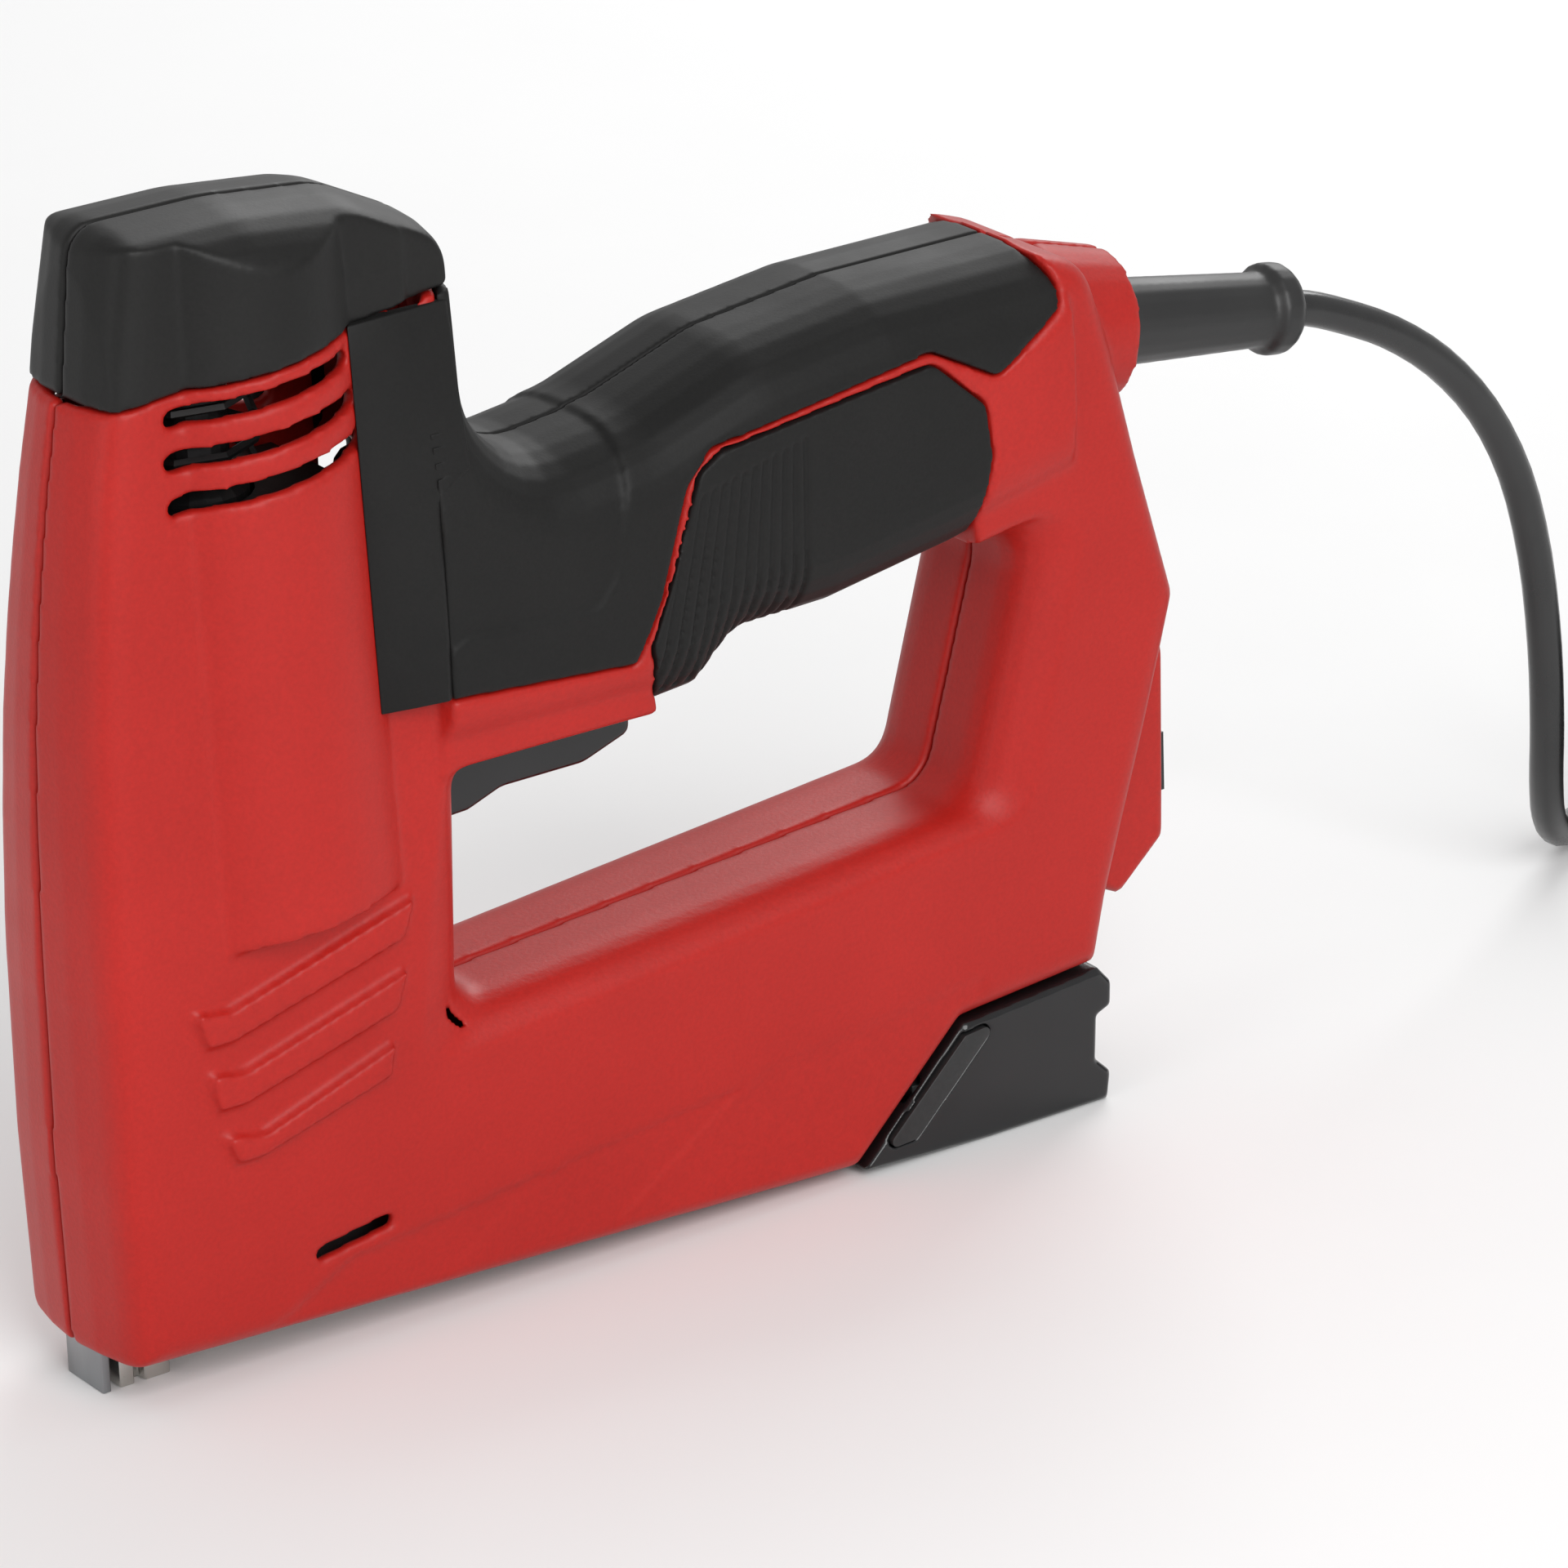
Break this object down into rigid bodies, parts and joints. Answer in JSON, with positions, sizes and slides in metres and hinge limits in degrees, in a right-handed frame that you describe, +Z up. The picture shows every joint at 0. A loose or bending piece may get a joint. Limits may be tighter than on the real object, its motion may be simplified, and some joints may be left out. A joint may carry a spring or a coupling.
{
  "type": "electric staple gun",
  "caption": "Corded electric tacker with a closed hand grip, a rear-opening staple magazine, a squeeze trigger and a solenoid-driven blade.",
  "frame": {"origin": "on the lower face of the nose plate, in the middle plane of the tool, where the nose meets the work", "axes": "+X from the nose to the rear of the tool, +Z up from the work through the handle, +Y to the tool's right side"},
  "size_m": [0.5128, 0.0684, 0.193],
  "materials": {
    "red_abs": "fine spark-eroded texture, satin",
    "soft_grip": "soft-touch, matt, a little warm",
    "gloss_black": "smooth, glossy",
    "steel": "zinc-plated, dull",
    "zinc": "bright plated",
    "spring_steel": "drawn wire",
    "copper": "enamelled winding wire",
    "board": "solder-masked board",
    "nylon": "natural nylon",
    "capacitor_sleeve": "printed sleeve, no text",
    "cord_rubber": "smooth jacket, semi-gloss",
    "bumper_rubber": "matt"
  },
  "bodies": {
    "housing": {"left_housing": "red_abs", "right_housing": "red_abs", "left_upper_grip": "soft_grip", "right_upper_grip": "soft_grip", "left_lower_grip": "soft_grip", "right_lower_grip": "soft_grip", "left_cap": "soft_grip", "right_cap": "soft_grip", "housing_screw_1": "steel", "housing_screw_2": "steel", "housing_screw_3": "steel", "housing_screw_4": "steel", "housing_screw_5": "steel", "housing_screw_6": "steel", "housing_screw_7": "steel", "housing_screw_8": "steel", "nose_plate": "steel", "magazine_channel": "steel", "solenoid_yoke": "steel", "coil_bobbin": "nylon", "coil_winding": "copper", "return_spring": "spring_steel", "stop_bumper": "bumper_rubber", "trigger_pin": "steel", "trigger_spring": "spring_steel", "trigger_switch": "gloss_black", "circuit_board": "board", "capacitor": "capacitor_sleeve", "power_transistor": "gloss_black", "rocker_bezel": "gloss_black", "inner_lead": "cord_rubber", "cord_clamp": "nylon", "cord_clamp_screw_1": "steel", "cord_clamp_screw_2": "steel", "cord_sleeve": "cord_rubber", "cord": "cord_rubber", "cord_hank": "cord_rubber", "cord_tie": "bumper_rubber", "cord_tail": "cord_rubber", "plug_body": "cord_rubber", "plug_pin_1": "steel", "plug_pin_2": "steel"},
    "magazine": {"magazine_tip": "zinc", "magazine_rail": "zinc", "magazine_end_block": "gloss_black", "guide_rod": "steel", "pusher_spring": "spring_steel", "release_spring": "spring_steel"},
    "pusher_body": {"pusher": "steel"},
    "left_button": {"left_release_button": "gloss_black"},
    "right_button": {"right_release_button": "gloss_black"},
    "driver": {"plunger": "steel", "driver_blade": "steel"},
    "trigger_body": {"trigger": "gloss_black"},
    "switch_plunger": {"switch_button": "red_abs"},
    "rocker_body": {"rocker": "gloss_black"}
  },
  "joints": [
    {"name": "magazine_slide", "type": "slide", "parent": "housing", "child": "magazine", "axis": [1, 0, 0], "range_m": [0, 0.1]},
    {"name": "pusher_slide", "type": "slide", "parent": "magazine", "child": "pusher_body", "axis": [1, 0, 0], "range_m": [0, 0.09], "stiffness_N_per_m": 40, "springref_m": -0.05, "deforming": ["pusher_spring"]},
    {"name": "left_button_press", "type": "slide", "parent": "magazine", "child": "left_button", "axis": [0, 1, 0], "range_m": [0, 0.002], "stiffness_N_per_m": 800, "springref_m": -0.003, "deforming": ["release_spring"]},
    {"name": "right_button_press", "type": "slide", "parent": "magazine", "child": "right_button", "axis": [0, -1, 0], "range_m": [0, 0.002], "stiffness_N_per_m": 800, "springref_m": -0.003, "deforming": ["release_spring"]},
    {"name": "driver_stroke", "type": "slide", "parent": "housing", "child": "driver", "axis": [0, 0, -1], "range_m": [0, 0.017], "stiffness_N_per_m": 500, "springref_m": -0.02, "deforming": ["return_spring"]},
    {"name": "trigger_pull", "type": "hinge", "parent": "housing", "child": "trigger_body", "pos_m": [0.0724, 0, 0.0976], "axis": [0, -1, 0], "range_deg": [0, 6], "stiffness_Nm_per_rad": 1.2, "springref_deg": -8.59, "deforming": ["trigger_spring"]},
    {"name": "switch_press", "type": "slide", "parent": "housing", "child": "switch_plunger", "axis": [0, 0, 1], "range_m": [0, 0.0012]},
    {"name": "rocker_tilt", "type": "hinge", "parent": "housing", "child": "rocker_body", "pos_m": [0.2104, 0, 0.0545], "axis": [0, 0, 1], "range_deg": [-16, 0]}
  ],
  "couplings": [
    {"joint": "switch_press", "follows": "trigger_pull", "m_per_rad": 0.0111}
  ]
}
